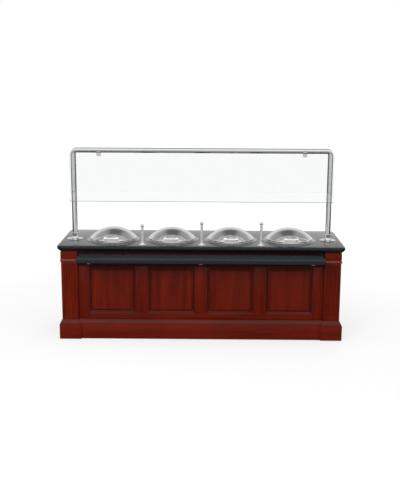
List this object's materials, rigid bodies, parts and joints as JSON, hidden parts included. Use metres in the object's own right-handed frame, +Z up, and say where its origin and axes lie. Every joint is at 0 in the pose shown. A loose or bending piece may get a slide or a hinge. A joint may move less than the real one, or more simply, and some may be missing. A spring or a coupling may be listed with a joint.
{
  "type": "buffet cart",
  "caption": "Wood-panelled serving cart on hidden casters: stone top with round wells under dome lids, glass guard on a tube frame and a folding tray slide.",
  "frame": {"origin": "on the floor under the middle of the whole, tray slide included", "axes": "+Z up, +X along the counter to the guest's right, -Y towards the guest, +Y towards the operator"},
  "size_m": [2.756, 1.045, 1.846],
  "materials": {
    "wood": "dark red mahogany stain under satin lacquer",
    "inner_wood": "matte stained board",
    "stone": "polished black granite",
    "solid_surface": "charcoal solid surface, semi gloss",
    "chrome": "polished",
    "steel": "brushed",
    "frame_steel": "black powder coat",
    "glass": "clear toughened glass",
    "knob_plastic": "moulded black",
    "caster_rubber": "grey non-marking tyre"
  },
  "bodies": {
    "cart": {"under_frame": "frame_steel", "plinth": "wood", "floor_deck": "inner_wood", "storage_shelf": "inner_wood", "centre_partition": "inner_wood", "front_frame": "wood", "front_panel_1": "wood", "front_panel_2": "wood", "front_panel_3": "wood", "front_panel_4": "wood", "side_frame_left": "wood", "side_frame_right": "wood", "side_panel_left": "wood", "side_panel_right": "wood", "rear_frame": "wood", "pilaster_front_left": "wood", "pilaster_front_right": "wood", "pilaster_rear_left": "wood", "pilaster_rear_right": "wood", "control_panel": "steel", "power_inlet": "knob_plastic", "countertop": "stone", "well_1": "steel", "well_2": "steel", "well_3": "steel", "well_4": "steel", "utensil_post_1": "chrome", "utensil_post_2": "chrome", "utensil_post_3": "chrome", "guard_frame": "chrome", "guard_flange_left": "chrome", "guard_flange_right": "chrome", "glass_clip_left": "chrome", "glass_clip_right": "chrome", "guard_glass": "glass", "tray_hinge_rail": "steel"},
    "cover_1": {"lid_1": "chrome", "lid_handle_1": "chrome"},
    "cover_2": {"lid_2": "chrome", "lid_handle_2": "chrome"},
    "cover_3": {"lid_3": "chrome", "lid_handle_3": "chrome"},
    "cover_4": {"lid_4": "chrome", "lid_handle_4": "chrome"},
    "tray": {"tray_slab": "solid_surface", "tray_arm_left": "chrome", "tray_arm_centre": "chrome", "tray_arm_right": "chrome"},
    "knob_1": {"control_knob_1": "knob_plastic"},
    "knob_2": {"control_knob_2": "knob_plastic"},
    "knob_3": {"control_knob_3": "knob_plastic"},
    "knob_4": {"control_knob_4": "knob_plastic"},
    "swivel_front_left": {"caster_fork_front_left": "steel"},
    "swivel_front_right": {"caster_fork_front_right": "steel"},
    "swivel_rear_left": {"caster_fork_rear_left": "steel"},
    "swivel_rear_right": {"caster_fork_rear_right": "steel"},
    "wheel_front_left": {"caster_wheel_front_left": "caster_rubber"},
    "wheel_front_right": {"caster_wheel_front_right": "caster_rubber"},
    "wheel_rear_left": {"caster_wheel_rear_left": "caster_rubber"},
    "wheel_rear_right": {"caster_wheel_rear_right": "caster_rubber"}
  },
  "joints": [
    {"name": "cover_1_hinge", "type": "hinge", "parent": "cart", "child": "cover_1", "pos_m": [-0.87, 0.2825, 0.962], "axis": [-1, 0, 0], "range_deg": [0, 90]},
    {"name": "cover_2_hinge", "type": "hinge", "parent": "cart", "child": "cover_2", "pos_m": [-0.29, 0.2825, 0.962], "axis": [-1, 0, 0], "range_deg": [0, 90]},
    {"name": "cover_3_hinge", "type": "hinge", "parent": "cart", "child": "cover_3", "pos_m": [0.29, 0.2825, 0.962], "axis": [-1, 0, 0], "range_deg": [0, 90]},
    {"name": "cover_4_hinge", "type": "hinge", "parent": "cart", "child": "cover_4", "pos_m": [0.87, 0.2825, 0.962], "axis": [-1, 0, 0], "range_deg": [0, 90]},
    {"name": "tray_fold", "type": "hinge", "parent": "cart", "child": "tray", "pos_m": [0, -0.2725, 0.783], "axis": [1, 0, 0], "range_deg": [0, 90]},
    {"name": "knob_1_turn", "type": "hinge", "parent": "cart", "child": "knob_1", "pos_m": [-0.87, 0.451, 0.795], "axis": [0, -1, 0], "range_deg": [0, 270]},
    {"name": "knob_2_turn", "type": "hinge", "parent": "cart", "child": "knob_2", "pos_m": [-0.29, 0.451, 0.795], "axis": [0, -1, 0], "range_deg": [0, 270]},
    {"name": "knob_3_turn", "type": "hinge", "parent": "cart", "child": "knob_3", "pos_m": [0.29, 0.451, 0.795], "axis": [0, -1, 0], "range_deg": [0, 270]},
    {"name": "knob_4_turn", "type": "hinge", "parent": "cart", "child": "knob_4", "pos_m": [0.87, 0.451, 0.795], "axis": [0, -1, 0], "range_deg": [0, 270]},
    {"name": "swivel_front_left_turn", "type": "hinge", "parent": "cart", "child": "swivel_front_left", "pos_m": [-1.18, -0.1385, 0.107], "axis": [0, 0, 1], "continuous": true},
    {"name": "swivel_front_right_turn", "type": "hinge", "parent": "cart", "child": "swivel_front_right", "pos_m": [1.18, -0.1385, 0.107], "axis": [0, 0, 1], "continuous": true},
    {"name": "swivel_rear_left_turn", "type": "hinge", "parent": "cart", "child": "swivel_rear_left", "pos_m": [-1.18, 0.3335, 0.107], "axis": [0, 0, 1], "continuous": true},
    {"name": "swivel_rear_right_turn", "type": "hinge", "parent": "cart", "child": "swivel_rear_right", "pos_m": [1.18, 0.3335, 0.107], "axis": [0, 0, 1], "continuous": true},
    {"name": "wheel_front_left_roll", "type": "hinge", "parent": "swivel_front_left", "child": "wheel_front_left", "pos_m": [-1.18, -0.1035, 0.05], "axis": [1, 0, 0], "continuous": true},
    {"name": "wheel_front_right_roll", "type": "hinge", "parent": "swivel_front_right", "child": "wheel_front_right", "pos_m": [1.18, -0.1035, 0.05], "axis": [1, 0, 0], "continuous": true},
    {"name": "wheel_rear_left_roll", "type": "hinge", "parent": "swivel_rear_left", "child": "wheel_rear_left", "pos_m": [-1.18, 0.3685, 0.05], "axis": [1, 0, 0], "continuous": true},
    {"name": "wheel_rear_right_roll", "type": "hinge", "parent": "swivel_rear_right", "child": "wheel_rear_right", "pos_m": [1.18, 0.3685, 0.05], "axis": [1, 0, 0], "continuous": true}
  ]
}
